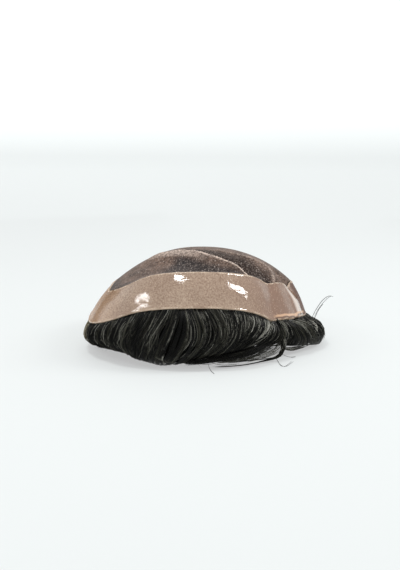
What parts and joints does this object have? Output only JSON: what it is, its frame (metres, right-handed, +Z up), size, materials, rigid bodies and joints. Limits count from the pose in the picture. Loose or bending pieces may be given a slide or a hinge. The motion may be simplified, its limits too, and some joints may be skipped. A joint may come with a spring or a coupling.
{
  "type": "toupee hairpiece",
  "caption": "Man's toupee turned inside out on its hair: a mesh crown with a diagonal fold, a clear skin-coloured band round it and dark hair below.",
  "frame": {"origin": "on the surface that the hair stands on, under the middle of the whole piece", "axes": "+Z up through the crown, +Y towards the back of the head, +X to the right as the front hairline is faced"},
  "size_m": [0.1638, 0.2024, 0.0676],
  "materials": {
    "crown_mesh": "fine mesh",
    "band_polyurethane": "glossy, skin coloured",
    "hair_strands": "near-black hair with grey strands"
  },
  "bodies": {
    "root": {"mesh_crown": "crown_mesh", "perimeter_band": "band_polyurethane", "hair": "hair_strands"}
  },
  "joints": []
}
